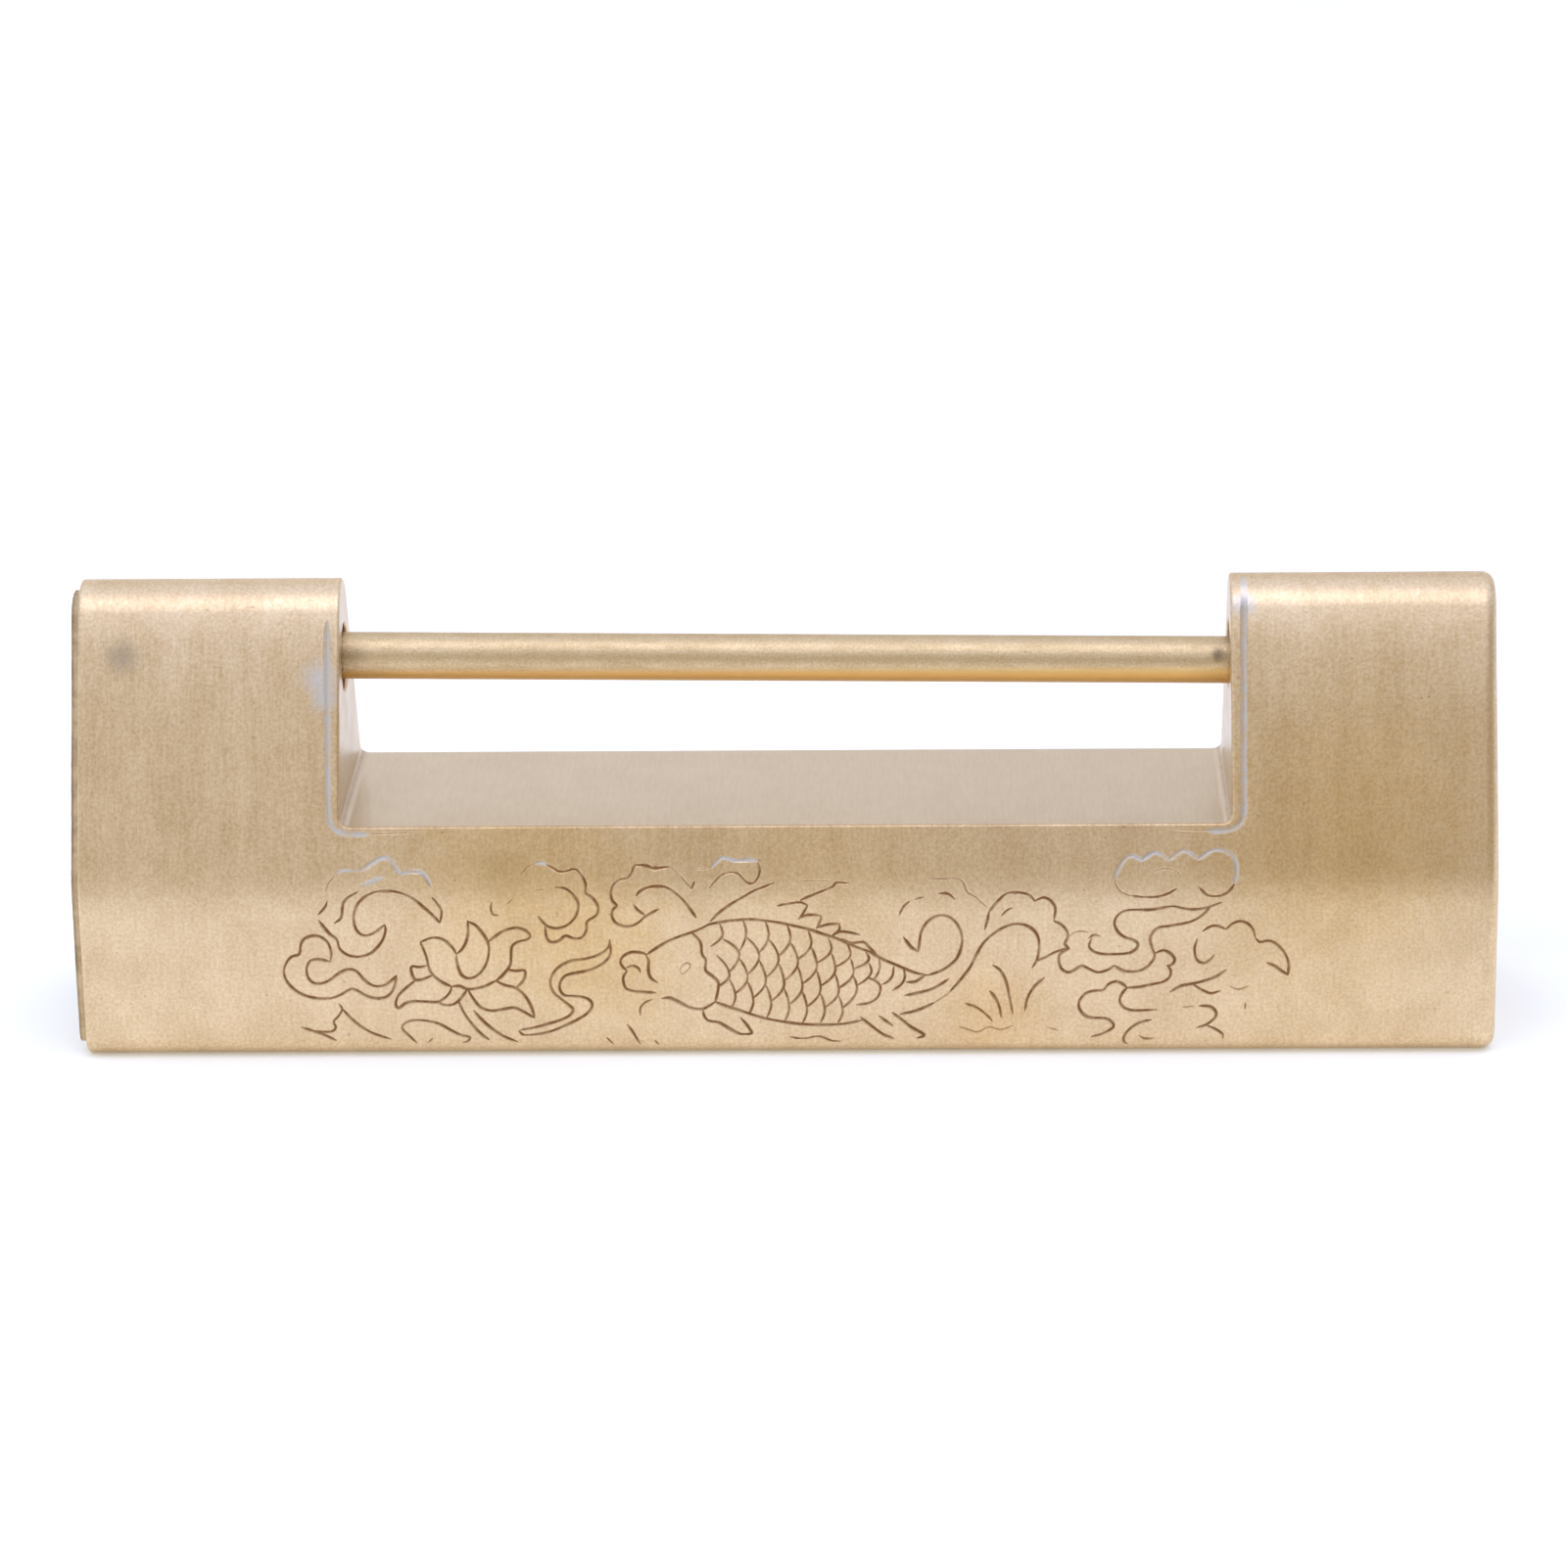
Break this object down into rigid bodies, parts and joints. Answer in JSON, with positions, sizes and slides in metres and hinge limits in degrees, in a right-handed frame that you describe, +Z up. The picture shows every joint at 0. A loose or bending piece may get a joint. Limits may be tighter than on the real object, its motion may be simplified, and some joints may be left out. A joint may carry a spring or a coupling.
{
  "type": "spring padlock",
  "caption": "Horizontal brass spring padlock: a notched ridge-topped case with a sliding bolt, a round bar across the notch and leaf springs that catch behind a throat.",
  "frame": {"origin": "on the base, under the middle of the lock", "axes": "+X along the lock to its keyhole end, the engraved front faces -Y, +Z up"},
  "size_m": [0.09, 0.0176, 0.0292],
  "materials": {
    "case_brass": "brushed, with fine scratches and dark engraved lines",
    "bar_brass": "drawn rod, polished by handling",
    "plate_brass": "filed flat",
    "raw_brass": "raw cut and dark with tarnish",
    "spring_bronze": "hammered spring sheet",
    "rivet_brass": "peened"
  },
  "bodies": {
    "case": {"lock_body": "case_brass", "keyhole_plate": "plate_brass", "throat_plate": "plate_brass"},
    "bolt": {"bolt_end_plate": "raw_brass", "shackle_bar": "bar_brass", "spring_stem": "raw_brass", "upper_leaf_rivet": "rivet_brass", "lower_leaf_rivet": "rivet_brass"},
    "front_leaf": {"front_leaf_spring": "spring_bronze"},
    "back_leaf": {"back_leaf_spring": "spring_bronze"}
  },
  "joints": [
    {"name": "bolt_slide", "type": "slide", "parent": "case", "child": "bolt", "axis": [-1, 0, 0], "range_m": [0, 0.078], "deforming": ["front_leaf_spring", "back_leaf_spring"]},
    {"name": "front_leaf_squeeze", "type": "hinge", "parent": "bolt", "child": "front_leaf", "pos_m": [0.0108, -0.00205, 0.007], "axis": [0, 0, -1], "range_deg": [0, 2.4], "stiffness_Nm_per_rad": 0.05},
    {"name": "back_leaf_squeeze", "type": "hinge", "parent": "bolt", "child": "back_leaf", "pos_m": [0.0108, 0.00205, 0.007], "axis": [0, 0, 1], "range_deg": [0, 2.4], "stiffness_Nm_per_rad": 0.05}
  ],
  "couplings": [
    {"joint": "back_leaf_squeeze", "follows": "front_leaf_squeeze", "ratio": 1}
  ]
}
